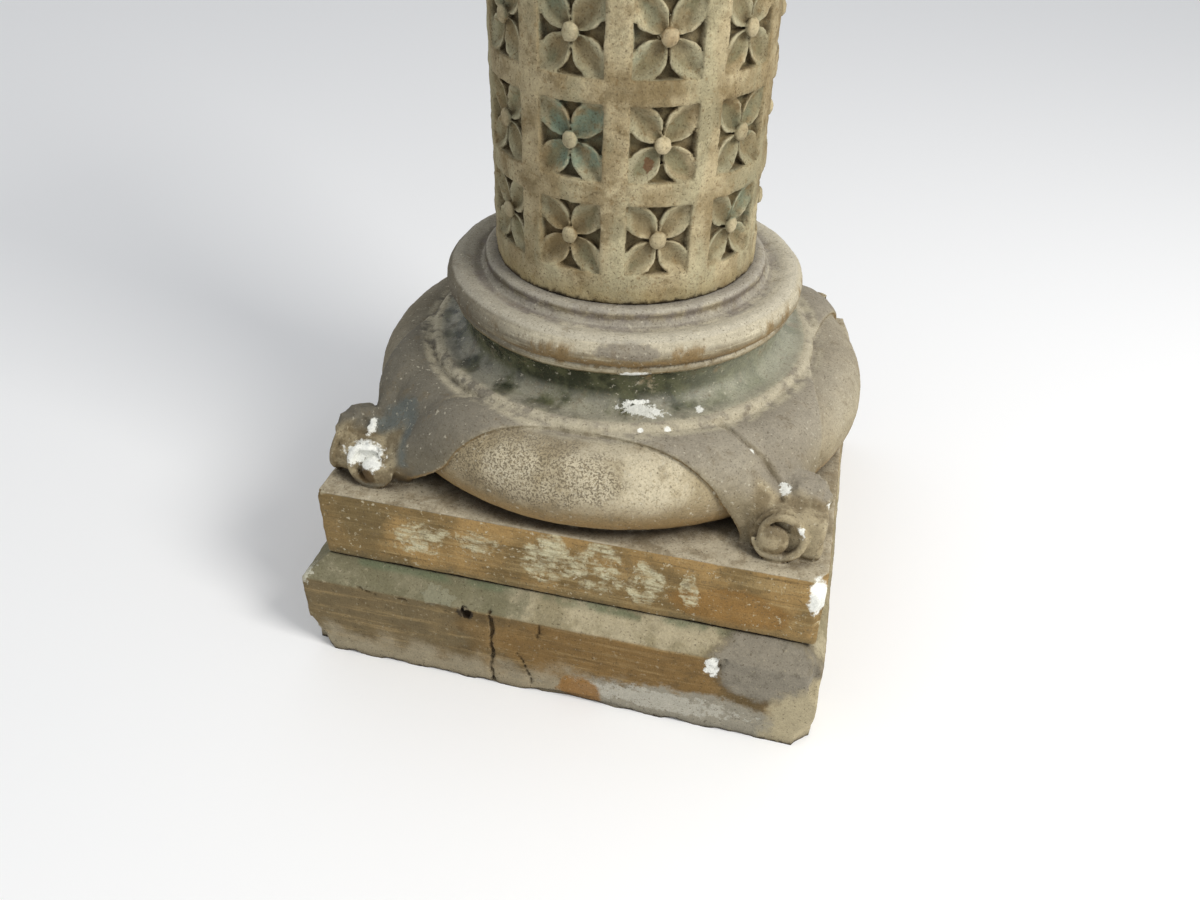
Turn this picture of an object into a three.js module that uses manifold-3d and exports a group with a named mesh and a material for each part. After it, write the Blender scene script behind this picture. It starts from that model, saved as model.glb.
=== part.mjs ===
// A stucco column: a square plinth, a moulded base with leaves and corner scrolls, and a round shaft
// covered with square coffers that each hold a four-petalled flower. The shaft is cut square on top.
// Millimetres, +Z up. The origin is under the middle of the plinth, and the front faces -Y.

import * as THREE from "three";
import { mergeVertices } from "three/addons/utils/BufferGeometryUtils.js";
import Module from "manifold-3d";

const wasm = await Module();
wasm.setup();

// Gap where one piece beds on the next
const bed = 0.3;

// Wear of the arrises that are still sound
const arris = 2;

// Broken corners bulge by this share of the break, and a wavy front edge has so many lengths
const breakBulge = 0.18;
const frontSteps = 6;
const waveTurn = 2.6;

// Plinth: a square block with a sloped band along its top edge, and broken front corners
const plinthHalfX = 228.5;
const plinthHalfY = 233;
const plinthFace = 88;
const bandRun = 20;
const bandRise = 17;
const plinthBreak = [14, 20];
const plinthFootBreak = [34, 34];
const plinthLeftBreak = [15, 10];
const plinthFootHeight = 34;
const plinthWave = 0.8;

// Base: the square block, a little to the right on the plinth, with its right corners broken
const baseShift = 4.5;
const blockHalf = 213;
const blockHeight = 69;
const blockFrontBreak = [8, 16];
const blockBackBreak = [14, 64];

// Base: the big lower torus
const torusReach = 222;
const torusTube = 37;
const torusFoot = 62;
const torusCrown = 118;

// Base: the leaves laid over the torus, and the lens of bare torus between two of them
const leafThickness = 3.5;
const leafFold = 1.5;
const creaseDepth = 3.2;
const leafEdge = 0.5;
const leafFlare = 34;
const foldPlace = 0.55;
const creasePlace = 0.12;
const lensHalfAngle = 33.5;
const lensTop = 108;
const lensMiddle = -45;
const lensTip = 1.5;

// Base: the scrolls, two at each corner
const scrollRadius = 23;
const scrollInset = 42;
const scrollBedding = 2;
const scrollFaceFront = 19;
const scrollFaceSide = 11;
const scrollFaceLeft = 3;
const scrollLength = 54;
const scrollRim = 4;
const scrollSink = 4;
const eyeRadius = 12.5;
const eyeShift = 5.5;
const eyeTaper = 0.8;
const scrollBreak = 26;
const breakSlope = 45;
const scrollStub = 4;

// Base: the turned mouldings above the torus
const beadReach = 174;
const beadRadius = 7.5;
const beadStart = -25;
const beadEnd = 90;
const scotiaFoot = 163;
const scotiaDepth = 21;
const scotiaRise = 34;
const scotiaDeepest = 0.4;
const filletReach = 150;
const filletHeight = 9;
const rollReach = 156;
const rollRadius = 13;
const rollStart = -30;
const rollEnd = 100;
const coveReach = 136;
const coveDrop = 1.5;
const ringReach = 122.5;
const ringRadius = 4.5;
const ringLift = 5;

// Shaft: a plain band, rows of coffers between ribs, and a plain band cut square
const shaftRadius = 111.5;
const columns = 10;
const rows = 8;
const footBand = 24;
const cofferHeight = 56;
const cofferAngle = 26.4;
const crossRib = 17;
const headBand = 24;
const firstColumn = 24.6;

// Flower: depths below the shaft's surface
const pitDepth = 7.5;
const petalEdgeDepth = 2;
const petalHollowDepth = 4.8;
const budFootDepth = 3;
const budTopDepth = 0.3;

// Flower: places as shares of half a coffer, from the middle out
const pitPlace = 0.8;
const petalLong = 0.74;
const petalShort = 0.34;
const hollowPlace = 0.56;
const budPlace = 0.25;

// Fineness of the round forms
const quarterPoints = 12;
const scrollSteps = 12;
const eyeSteps = 9;

// Heights of the joints and of the mouldings, from the ground up
const blockFoot = plinthFace + bandRise + bed;
const blockTop = blockFoot + blockHeight;
const torusZ = blockTop + torusTube;
const beadZ = torusZ + torusTube + 1;
const scotiaZ = beadZ + beadRadius;
const filletZ = scotiaZ + scotiaRise;
const rollZ = filletZ + filletHeight + rollRadius * Math.SQRT1_2;
const rollTop = rollZ + rollRadius;
const ringZ = rollTop + ringLift;
const baseTop = ringZ + ringRadius + bed;
const shaftFoot = baseTop + bed;

const radians = THREE.MathUtils.degToRad;
const quarterTurn = 90;

// An arc of a profile, as points of radius and height
function arc(r, z, radius, from, to, steps) {
  const points = [];
  for (let i = 0; i <= steps; i += 1) {
    const a = radians(from + ((to - from) * i) / steps);
    points.push(new THREE.Vector2(r + radius * Math.cos(a), z + radius * Math.sin(a)));
  }
  return points;
}

// A closed geometry as a solid that can be joined and cut
function solid(geometry) {
  const bare = geometry.clone();
  bare.deleteAttribute("normal");
  bare.deleteAttribute("uv");
  const joined = mergeVertices(bare, 1e-4);
  const corners = joined.index.array;
  const faces = [];
  for (let i = 0; i < corners.length; i += 3) {
    const [a, b, c] = corners.slice(i, i + 3);
    if (a !== b && b !== c && c !== a) faces.push(a, b, c);
  }
  const mesh = new wasm.Mesh({
    numProp: 3,
    vertProperties: new Float32Array(joined.attributes.position.array),
    triVerts: new Uint32Array(faces),
  });
  return new wasm.Manifold(mesh);
}

// The faces of a solid as a geometry again
function geometryOf(body) {
  const mesh = body.getMesh();
  const geometry = new THREE.BufferGeometry();
  geometry.setAttribute("position", new THREE.BufferAttribute(mesh.vertProperties.slice(), 3));
  geometry.setIndex(new THREE.BufferAttribute(mesh.triVerts.slice(), 1));
  return geometry;
}

// Triangles collected one by one, given by their corners
class Faces {
  constructor() {
    this.positions = [];
  }
  triangle(a, b, c) {
    for (const p of [a, b, c]) this.positions.push(p.x, p.y, p.z);
  }
  quad(a, b, c, d) {
    this.triangle(a, b, c);
    this.triangle(a, c, d);
  }
  geometry() {
    const geometry = new THREE.BufferGeometry();
    geometry.setAttribute("position", new THREE.Float32BufferAttribute(this.positions, 3));
    return mergeVertices(geometry, 1e-3);
  }
}

// A closed skin over a stack of loops with as many points each, counter-clockwise from above
function skin(loops) {
  const faces = new Faces();
  const count = loops[0].length;
  const middle = (loop) => {
    return loop.reduce((sum, p) => sum.add(p), new THREE.Vector3()).divideScalar(count);
  };
  const foot = loops[0];
  const head = loops[loops.length - 1];
  for (let k = 0; k < count; k += 1) {
    const next = (k + 1) % count;
    for (let i = 1; i < loops.length; i += 1) {
      faces.quad(loops[i - 1][k], loops[i - 1][next], loops[i][next], loops[i][k]);
    }
    faces.triangle(middle(foot), foot[next], foot[k]);
    faces.triangle(middle(head), head[k], head[next]);
  }
  return faces.geometry();
}

// A block's plan: each corner is broken off by [along x, along y], and the front edge is wavy
function blockPlan(halfX, halfY, breaks, wave, z) {
  const signs = [[-1, -1], [1, -1], [1, 1], [-1, 1]];
  const points = [];
  signs.forEach(([sx, sy], i) => {
    const [alongX, alongY] = breaks[i];
    const nearY = new THREE.Vector3(sx * halfX, sy * (halfY - alongY), z);
    const nearX = new THREE.Vector3(sx * (halfX - alongX), sy * halfY, z);
    const between = nearY.clone().lerp(nearX, 0.5);
    between.x += sx * alongX * breakBulge;
    between.y += sy * alongY * breakBulge;
    points.push(...(sx * sy > 0 ? [nearY, between, nearX] : [nearX, between, nearY]));
    if (i > 0) return;
    for (let k = 1; k < frontSteps; k += 1) {
      const x = halfX * ((2 * k) / frontSteps - 1);
      points.push(new THREE.Vector3(x, -halfY + wave * (1 + Math.sin(k * waveTurn)), z));
    }
  });
  return points;
}

// Plinth: up its face, then in along the sloped band
function plinthGeometry() {
  const sound = [[arris, arris], plinthBreak, [arris, arris], [arris, arris]];
  const atFoot = [plinthLeftBreak, plinthFootBreak, [arris, arris], [arris, arris]];
  return skin([
    blockPlan(plinthHalfX, plinthHalfY, atFoot, plinthWave, 0),
    blockPlan(plinthHalfX, plinthHalfY, sound, 0, plinthFootHeight),
    blockPlan(plinthHalfX, plinthHalfY, sound, 0, plinthFace),
    blockPlan(plinthHalfX - bandRun, plinthHalfY - bandRun, sound, 0, plinthFace + bandRise),
  ]);
}

// Base: the square block with its top edge rounded off
function blockGeometry() {
  const breaks = [[arris, arris], blockFrontBreak, blockBackBreak, [arris, arris]];
  const inner = blockHalf - arris;
  return skin([
    blockPlan(blockHalf, blockHalf, breaks, 0, blockFoot),
    blockPlan(blockHalf, blockHalf, breaks, 0, blockTop - arris),
    blockPlan(inner, inner, breaks, 0, blockTop),
  ]);
}

// Base: a hollow between two edges, as an arc in each direction from its deepest point
function scotia() {
  const deepest = scotiaFoot - scotiaDepth;
  const middle = scotiaZ + scotiaRise * scotiaDeepest;
  const steps = 3;
  const points = [];
  for (let i = 0; i <= steps; i += 1) {
    const a = radians(270 - (90 * i) / steps);
    const r = scotiaFoot + scotiaDepth * Math.cos(a);
    points.push(new THREE.Vector2(r, middle + (middle - scotiaZ) * Math.sin(a)));
  }
  for (let i = 1; i <= steps; i += 1) {
    const a = radians(180 - (90 * i) / steps);
    const r = filletReach + (filletReach - deepest) * Math.cos(a);
    points.push(new THREE.Vector2(r, middle + (filletZ - middle) * Math.sin(a)));
  }
  return points;
}

// Base: a level ring of the turned mouldings, with as many points as the rings that carry leaves
function plainRing(r, z) {
  const points = [];
  for (let i = 0; i < 4 * quarterPoints; i += 1) {
    const a = radians((quarterTurn * i) / quarterPoints);
    points.push(new THREE.Vector3(r * Math.sin(a), -r * Math.cos(a), z));
  }
  return points;
}

// Base: a ring of the torus at one fall of its section, bare in the lenses and raised under leaves
function leafRing(fall) {
  const share = Math.min(1, Math.max(0, (fall - lensMiddle) / (lensTop - lensMiddle)));
  const lens = Math.max(lensTip, lensHalfAngle * Math.sqrt(1 - share * share));
  const corner = quarterTurn / 2;
  const leafHalf = corner - lens - leafEdge;
  const bare = fall > lensTop ? leafThickness : 0;
  const flared = leafFlare * Math.pow(Math.max(0, -fall / torusFoot), 1.5);
  const leaf = (u, fold) => {
    return [corner + leafHalf * u, leafThickness + fold, flared * Math.min(1, 2.5 * (1 - Math.abs(u)))];
  };
  const quarter = [
    [0, bare, 0],
    [lens / 2, bare, 0],
    [lens, bare, 0],
    leaf(-1, 0),
    leaf(-foldPlace, leafFold),
    leaf(-creasePlace, leafFold),
    leaf(0, -creaseDepth),
    leaf(creasePlace, leafFold),
    leaf(foldPlace, leafFold),
    leaf(1, 0),
    [quarterTurn - lens, bare, 0],
    [quarterTurn - lens / 2, bare, 0],
  ];
  const points = [];
  for (let turn = 0; turn < 360; turn += quarterTurn) {
    for (const [angle, height, flare] of quarter) {
      const a = radians(turn + angle);
      const r = torusReach - torusTube + (torusTube + height) * Math.cos(radians(fall)) + flare;
      const z = torusZ + (torusTube + height) * Math.sin(radians(fall));
      points.push(new THREE.Vector3(r * Math.sin(a), -r * Math.cos(a), z));
    }
  }
  return points;
}

// Base: all that is turned, from inside the block up to the bed of the shaft
function mouldingsGeometry() {
  const rings = [];
  const steps = 9;
  const crown = torusCrown;
  for (let i = 0; i <= steps; i += 1) rings.push(leafRing(-torusFoot + ((crown + torusFoot) * i) / steps));
  const sunk = rings[0].map((p) => new THREE.Vector3(p.x, p.y, blockTop - blockHeight / 4));
  const cove = new THREE.Vector2(coveReach, rollTop - coveDrop);
  const ring = arc(ringReach - ringRadius, ringZ, ringRadius, beadStart, beadEnd, 2);
  const coveMiddle = cove.clone().lerp(ring[0], 0.55);
  coveMiddle.y -= coveDrop;
  const profile = [
    ...arc(beadReach - beadRadius, beadZ, beadRadius, beadStart, beadEnd, 3),
    ...scotia(),
    new THREE.Vector2(filletReach, filletZ + filletHeight),
    ...arc(rollReach - rollRadius, rollZ, rollRadius, rollStart, rollEnd, 5),
    cove,
    coveMiddle,
    ...ring,
    new THREE.Vector2(shaftRadius + ringRadius / 2, baseTop),
  ];
  for (const point of profile) rings.push(plainRing(point.x, point.y));
  return skin([sunk, ...rings]);
}

// Base: one scroll that faces the front: a rolled end with a sunk turn around a raised eye
function scrollSolid(side, faceInset) {
  const roll = new THREE.CylinderGeometry(scrollRadius, scrollRadius, scrollLength, scrollSteps);
  const turn = scrollRadius - scrollRim;
  const sunk = new THREE.CylinderGeometry(turn, turn, scrollSink * 2, scrollSteps);
  const eye = new THREE.CylinderGeometry(eyeRadius, eyeRadius * eyeTaper, scrollSink * 2, eyeSteps);
  sunk.translate(0, -scrollLength / 2, 0);
  eye.translate(-side * eyeShift, -scrollLength / 2 + scrollSink * 1.2, 0);
  const place = new THREE.Matrix4().makeTranslation(
    side * (blockHalf - scrollInset),
    scrollLength / 2 - (blockHalf - faceInset),
    blockTop + scrollRadius - scrollBedding,
  );
  for (const geometry of [roll, sunk, eye]) geometry.applyMatrix4(place);
  return solid(roll).subtract(solid(sunk)).add(solid(eye));
}

// Base: what is broken off the scrolls, at the front left and at the back right corner
function scrollLosses() {
  const size = scrollRadius * 4;
  const reach = blockHalf - scrollInset;
  const front = new THREE.BoxGeometry(size, size, size).translate(0, 0, size / 2);
  front.rotateX(radians(breakSlope));
  front.translate(-reach, -reach - scrollRadius, blockTop + scrollBreak);
  const back = new THREE.BoxGeometry(size, size * 1.5, size).translate(size / 2, 0, size / 2);
  back.translate(reach + scrollStub, reach, blockTop + scrollBedding);
  return solid(front).add(solid(back));
}

// Base: block, mouldings, leaves and scrolls are one casting
function baseGeometry() {
  let body = solid(blockGeometry());
  const faceInsets = [scrollFaceFront, scrollFaceSide, scrollFaceFront, scrollFaceLeft];
  faceInsets.forEach((faceInset, quarter) => {
    for (const side of [-1, 1]) {
      body = body.add(scrollSolid(side, faceInset).rotate([0, 0, quarterTurn * quarter]));
    }
  });
  return geometryOf(body.subtract(scrollLosses()).add(solid(mouldingsGeometry())));
}

// Shaft: the faces of one coffer, from its rim down to the pits and up to the petals and the bud
function coffer(faces, at) {
  const bud = at(0, 0, budTopDepth);
  for (const side of [-1, 1]) {
    const besides = at(side * pitPlace, 0, pitDepth);
    faces.triangle(at(side, -side, 0), at(side, side, 0), besides);
    const above = at(0, side * pitPlace, pitDepth);
    faces.triangle(at(0, side, 0), at(-side, side, 0), above);
    faces.triangle(at(side, side, 0), at(0, side, 0), above);
  }
  for (let quarter = 0; quarter < 4; quarter += 1) {
    const spot = (x, y, depth) => {
      const turns = [[x, y], [-y, x], [-x, -y], [y, -x]];
      return at(turns[quarter][0], turns[quarter][1], depth);
    };
    const corner = spot(1, 1, 0);
    const hollow = spot(hollowPlace, hollowPlace, petalHollowDepth);
    const foot = spot(budPlace * Math.SQRT1_2, budPlace * Math.SQRT1_2, budFootDepth);
    const sides = [
      [spot(pitPlace, 0, pitDepth), spot(petalLong, petalShort, petalEdgeDepth),
        spot(budPlace, 0, budFootDepth)],
      [spot(0, pitPlace, pitDepth), spot(petalShort, petalLong, petalEdgeDepth),
        spot(0, budPlace, budFootDepth)],
    ];
    sides.forEach(([pit, edge, budSide], mirrored) => {
      const put = (a, b, c) => (mirrored ? faces.triangle(a, c, b) : faces.triangle(a, b, c));
      put(corner, edge, pit);
      put(pit, edge, budSide);
      put(edge, foot, budSide);
      put(corner, hollow, edge);
      put(edge, hollow, foot);
      put(budSide, foot, bud);
    });
  }
}

// Shaft: coffers and ribs around and up, closed by flat ends
function shaftGeometry() {
  const faces = new Faces();
  const pitch = 360 / columns;
  const spot = (angle, z, depth = 0) => {
    const a = radians(angle);
    const r = shaftRadius - depth;
    return new THREE.Vector3(r * Math.sin(a), -r * Math.cos(a), z);
  };
  const firstRow = shaftFoot + footBand;
  const rowPitch = cofferHeight + crossRib;
  const shaftTop = firstRow + rows * rowPitch - crossRib + headBand;
  const levels = [shaftFoot];
  for (let row = 0; row < rows; row += 1) {
    const low = firstRow + row * rowPitch;
    levels.push(low, low + cofferHeight);
  }
  levels.push(shaftTop);
  for (let column = 0; column < columns; column += 1) {
    const middle = firstColumn + column * pitch;
    const left = middle - cofferAngle / 2;
    const right = middle + cofferAngle / 2;
    const next = left + pitch;
    for (let i = 0; i < levels.length - 1; i += 1) {
      const low = levels[i];
      const high = levels[i + 1];
      const half = (low + high) / 2;
      const sunk = i % 2 === 1;
      if (sunk) {
        coffer(faces, (x, y, depth) => {
          return spot(middle + (x * cofferAngle) / 2, half + (y * cofferHeight) / 2, depth);
        });
        faces.quad(spot(right, low), spot(next, low), spot(next, high), spot(right, high));
      } else {
        faces.quad(spot(left, low), spot(middle, low), spot(middle, high), spot(left, high));
        faces.quad(spot(middle, low), spot(right, low), spot(right, high), spot(middle, high));
        faces.quad(spot(right, low), spot(next, low), spot(next, high), spot(right, high));
      }
    }
    for (const [from, to] of [[left, middle], [middle, right], [right, next]]) {
      faces.triangle(new THREE.Vector3(0, 0, shaftFoot), spot(to, shaftFoot), spot(from, shaftFoot));
      faces.triangle(new THREE.Vector3(0, 0, shaftTop), spot(from, shaftTop), spot(to, shaftTop));
    }
  }
  return faces.geometry();
}

// One named piece with its own finish
function piece(name, geometry, color, roughness) {
  const material = new THREE.MeshStandardMaterial({ color, roughness, metalness: 0 });
  const mesh = new THREE.Mesh(geometry, material);
  mesh.name = name;
  return mesh;
}

const column = new THREE.Group();
column.add(piece("base", baseGeometry(), 0x8f8468, 0.75));
column.add(piece("shaft", shaftGeometry(), 0xb3a27a, 0.8));
column.position.x = baseShift;

const group = new THREE.Group();
group.add(piece("plinth", plinthGeometry(), 0x9a7f4e, 0.85));
group.add(column);

export default group;
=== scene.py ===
from math import atan2, cos, exp, pi, radians, sin, sqrt

import bmesh
import bpy
from mathutils import Matrix, Vector


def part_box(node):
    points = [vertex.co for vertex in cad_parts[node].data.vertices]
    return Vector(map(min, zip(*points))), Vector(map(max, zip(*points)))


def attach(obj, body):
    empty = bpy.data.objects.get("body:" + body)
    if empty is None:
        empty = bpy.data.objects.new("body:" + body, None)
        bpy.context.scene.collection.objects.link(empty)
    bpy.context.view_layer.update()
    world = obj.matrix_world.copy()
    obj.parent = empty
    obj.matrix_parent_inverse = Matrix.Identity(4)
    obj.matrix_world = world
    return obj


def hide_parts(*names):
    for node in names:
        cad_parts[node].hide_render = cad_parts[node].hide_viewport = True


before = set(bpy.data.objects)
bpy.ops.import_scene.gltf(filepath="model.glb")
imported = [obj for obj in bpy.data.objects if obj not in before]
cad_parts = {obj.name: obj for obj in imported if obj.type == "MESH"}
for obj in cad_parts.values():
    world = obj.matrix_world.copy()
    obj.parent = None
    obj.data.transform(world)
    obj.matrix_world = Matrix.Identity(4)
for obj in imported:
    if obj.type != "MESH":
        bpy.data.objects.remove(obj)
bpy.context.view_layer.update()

mm = 0.001


# The view: looking down on the front of the column, a little from its right.
# The camera stands about three quarters of a metre from the base, at the height of the shaft.
camera_place = Vector((166.4, -776.9, 701.9)) * mm
camera_yaw = 0.228
camera_pitch = 0.645
camera_roll = 0.025

bpy.ops.object.camera_add()
camera = bpy.context.object
camera.name = "camera"
camera.data.sensor_width = 36
camera.data.lens = 29.4
camera.data.clip_start = 0.02
turn = Matrix.Rotation(camera_yaw, 4, "Z") @ Matrix.Rotation(pi / 2 - camera_pitch, 4, "X")
camera.matrix_world = Matrix.Translation(camera_place) @ turn @ Matrix.Rotation(camera_roll, 4, "Z")
bpy.context.scene.camera = camera


# The light: a wide soft light from the upper right and a weak one from the left, in a pale room.
# Both are plain area lights that point at the base.
def area_light(name, place, size, power, colour):
    bpy.ops.object.light_add(type="AREA", location=place)
    light = bpy.context.object
    light.name = name
    light.data.size = size
    light.data.energy = power
    light.data.color = colour
    aim = Vector((0, 0, 0.3)) - Vector(place)
    light.rotation_euler = aim.to_track_quat("-Z", "Y").to_euler()


area_light("key_light", (1.6, -0.8, 1.9), 0.8, 43, (1.0, 0.98, 0.94))
area_light("fill_light", (-2.0, -1.6, 1.4), 2.0, 3, (0.93, 0.97, 1.0))
world = bpy.data.worlds.new("pale room")
world.use_nodes = True
world.node_tree.nodes["Background"].inputs["Color"].default_value = (0.95, 0.97, 1.0, 1)
world.node_tree.nodes["Background"].inputs["Strength"].default_value = 0.64
bpy.context.scene.world = world
bpy.context.scene.view_settings.view_transform = "Standard"


# The floor: a plain pale sheet under the plinth, far larger than the view.
bpy.ops.mesh.primitive_plane_add(size=14, location=(0, 0, 0))
floor = bpy.context.object
floor.name = "floor"
floor_paint = bpy.data.materials.new("pale floor")
floor_paint.use_nodes = True
floor_paint.node_tree.nodes["Principled BSDF"].inputs["Base Color"].default_value = (0.93, 0.93, 0.93, 1)
floor_paint.node_tree.nodes["Principled BSDF"].inputs["Roughness"].default_value = 0.9
floor.data.materials.append(floor_paint)


# Plinth: a square block of stucco with a sloped band round its top, painted ochre below and green
# on the band. It stands on the ground under its own weight, and its front right corner was broken
# and mended with grey mortar.
plinth_low, plinth_high = (Vector(corner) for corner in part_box("plinth"))
band_foot = 88 * mm
band_run = 20 * mm
foot_spare = 2 * mm
room_for_relief = (0.9962, 0.9962, 0.992)


def only(piece):
    bpy.ops.object.select_all(action="DESELECT")
    piece.select_set(True)
    bpy.context.view_layer.objects.active = piece


def finished(piece):
    only(piece)
    bpy.ops.object.transform_apply(location=True, rotation=True, scale=True)
    return piece


def squared_block(name, low, high):
    bpy.ops.object.select_all(action="DESELECT")
    bpy.ops.mesh.primitive_cube_add(size=1, location=(Vector(low) + Vector(high)) / 2)
    block = bpy.context.object
    block.name = name
    block.scale = Vector(high) - Vector(low)
    return finished(block)


def pick(piece, test, kind="FACE"):
    only(piece)
    bpy.ops.object.mode_set(mode="EDIT")
    bpy.ops.mesh.select_mode(type=kind)
    bpy.ops.mesh.select_all(action="DESELECT")
    mesh = bmesh.from_edit_mesh(piece.data)
    if kind == "FACE":
        for face in mesh.faces:
            face.select = test(face.calc_center_median(), face.normal)
    else:
        for vert in mesh.verts:
            vert.select = test(vert.co)
    mesh.select_flush_mode()
    bmesh.update_edit_mesh(piece.data)


def object_mode():
    bpy.ops.object.mode_set(mode="OBJECT")


def apply_modifier(piece, kind, **settings):
    only(piece)
    modifier = piece.modifiers.new(kind.lower(), kind)
    for name, value in settings.items():
        setattr(modifier, name, value)
    bpy.ops.object.modifier_apply(modifier=modifier.name)


def cut_away(piece, cutter):
    apply_modifier(piece, "BOOLEAN", object=cutter, operation="DIFFERENCE", solver="EXACT", use_self=True)
    bpy.data.objects.remove(cutter)


def rough_lump(place, size, turned, seed, knock):
    bpy.ops.object.select_all(action="DESELECT")
    bpy.ops.mesh.primitive_ico_sphere_add(subdivisions=3, radius=1, location=Vector(place) * mm)
    lump = bpy.context.object
    lump.scale = Vector(size) * mm
    lump.rotation_euler = [radians(angle) for angle in turned]
    finished(lump)
    bpy.ops.object.mode_set(mode="EDIT")
    bpy.ops.mesh.select_all(action="SELECT")
    bpy.ops.transform.vertex_random(offset=knock * mm, uniform=1, normal=0.5, seed=seed)
    object_mode()
    return lump


def break_off(piece, place, size, turned=(0, 0, 0), seed=1, rough=0.12):
    cut_away(piece, rough_lump(place, size, turned, seed, min(size) * rough))


def groove(piece, points, width):
    curve = bpy.data.curves.new("groove", "CURVE")
    curve.dimensions = "3D"
    curve.bevel_depth = width * mm / 2
    curve.bevel_resolution = 1
    curve.use_fill_caps = True
    line = curve.splines.new("POLY")
    line.points.add(len(points) - 1)
    for point, place in zip(line.points, points):
        point.co = (*(Vector(place[:3]) * mm), 1)
        point.radius = place[3] if len(place) > 3 else 1
    tool = bpy.data.objects.new("groove", curve)
    bpy.context.collection.objects.link(tool)
    only(tool)
    bpy.ops.object.convert(target="MESH")
    cut_away(piece, bpy.context.object)


def uneven(piece, name, grain, strength, depth=2):
    texture = bpy.data.textures.new(name, "CLOUDS")
    texture.noise_scale = grain * mm
    texture.noise_depth = depth
    apply_modifier(piece, "DISPLACE", texture=texture, strength=strength * mm, mid_level=0.5)


def cast(piece, voxel, triangles, waves=1.6, marks=0.9, grit=0.6):
    only(piece)
    piece.data.remesh_voxel_size = voxel
    bpy.ops.object.voxel_remesh()
    apply_modifier(piece, "SMOOTH", factor=0.5, iterations=1)
    uneven(piece, "hand work", 45, waves)
    uneven(piece, "trowel marks", 11, marks)
    uneven(piece, "grit", 3.2, grit)
    count = sum(len(face.vertices) - 2 for face in piece.data.polygons)
    apply_modifier(piece, "DECIMATE", ratio=min(1, triangles / count))
    only(piece)
    bpy.ops.object.shade_smooth()


def cut_flat(piece, height, upper):
    pick(piece, lambda place, normal: True)
    bpy.ops.mesh.bisect(
        plane_co=(0, 0, height), plane_no=(0, 0, 1 if upper else -1), use_fill=True, clear_outer=True,
        threshold=1e-6,
    )
    object_mode()


plinth = squared_block(
    "plinth_stucco", plinth_low - Vector((0, 0, foot_spare)), (plinth_high.x, plinth_high.y, band_foot)
)
pick(plinth, lambda place, normal: normal.z > 0.9)
bpy.ops.mesh.extrude_region_move(TRANSFORM_OT_translate={"value": (0, 0, plinth_high.z - band_foot)})
band_taper = ((plinth_high.x - band_run) / plinth_high.x, (plinth_high.y - band_run) / plinth_high.y, 1)
bpy.ops.transform.resize(value=band_taper, center_override=(0, 0, plinth_high.z))
object_mode()

break_off(plinth, (281, -284, -14), (92, 84, 122), (0, 0, 45), 3, 0.03)
break_off(plinth, (236, -236, 95), (17, 20, 46), (0, 0, 40), 5)
break_off(plinth, (-236, -238, -2), (26, 18, 44), (0, 0, 0), 7, 0.08)
break_off(plinth, (146, -246, 84), (13, 16, 17), (0, 20, 0), 8)
break_off(plinth, (-100, -237, 84), (20, 6, 6), (0, 0, 0), 9)
break_off(plinth, (20, -238, 0), (60, 8, 12), (0, 0, 0), 10)
foot_chips = 9
chip_step = 44
for i in range(foot_chips):
    long, tilt = 16 + 5 * (i % 3), 12 * (i % 2)
    break_off(plinth, (-190 + chip_step * i, -236, -3), (long, 5.5, 7), (0, tilt, 0), 20 + i)
groove(plinth, [
    (-54, -229, 97, 0.7), (-53, -231.5, 84, 1.1), (-51, -231.6, 70, 1.3), (-54, -231.8, 56, 0.9),
    (-52, -231.4, 40, 1.2), (-55, -231.8, 22, 0.8), (-53, -231.8, 2, 1.0),
], 4.2)
groove(plinth, [(-10, -232, 88, 0.6), (-9, -231.6, 78, 0.9), (-12, -232, 68, 0.6)], 4)
groove(plinth, [(-30, -232, 46, 0.6), (-25, -231.6, 36, 0.9), (-19, -231.4, 20, 1), (-17, -232, 6, 0.6)], 4)
groove(plinth, [(-79, -230, 88, 1.0), (-74, -230, 84, 1.6), (-75, -230.5, 77, 0.9)], 7)
groove(plinth, [(-72, -230, 87, 0.6), (-62, -230, 87, 0.8), (-55, -230.6, 85, 0.6)], 4.4)
groove(plinth, [(-176, -231.5, 89, 0.6), (-166, -231.5, 86, 1), (-158, -232, 84, 0.5)], 4)
groove(plinth, [(-146, -232, 86, 0.5), (-134, -231.5, 84, 1), (-122, -232, 83, 0.5)], 4)
cast(plinth, voxel=1.7 * mm, triangles=150000)
plinth.scale = room_for_relief
finished(plinth)
cut_flat(plinth, 0, False)


def shade(red, green, blue):
    parts = [value / 255 for value in (red, green, blue)]
    return (*[part / 12.92 if part < 0.04045 else ((part + 0.055) / 1.055) ** 2.4 for part in parts], 1)


def node(tree, kind, inputs=(), **settings):
    made = tree.nodes.new("ShaderNode" + kind)
    for name, value in settings.items():
        setattr(made, name, value)
    for socket, value in dict(inputs).items():
        if isinstance(value, bpy.types.NodeSocket):
            tree.links.new(value, made.inputs[socket])
        else:
            made.inputs[socket].default_value = value
    return made


def maths(tree, operation, first, second=0.0):
    return node(tree, "Math", {0: first, 1: second}, operation=operation).outputs[0]


def between(tree, value, low, high):
    return node(tree, "MapRange", {0: value, 1: low, 2: high}, interpolation_type="SMOOTHSTEP").outputs[0]


def both(tree, *masks):
    mask = masks[0]
    for other in masks[1:]:
        mask = maths(tree, "MULTIPLY", mask, other)
    return mask


def coat(tree, under, mask, over, amount=1.0):
    if amount != 1.0:
        mask = maths(tree, "MULTIPLY", mask, amount)
    return node(tree, "Mix", {0: mask, 6: under, 7: over}, data_type="RGBA").outputs[2]


def object_place(tree):
    return node(tree, "TexCoord").outputs["Object"]


def clouds(tree, place, scale, detail, roughness):
    return node(
        tree, "TexNoise", {"Vector": place, "Scale": scale, "Detail": detail, "Roughness": roughness}
    ).outputs[0]


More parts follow.
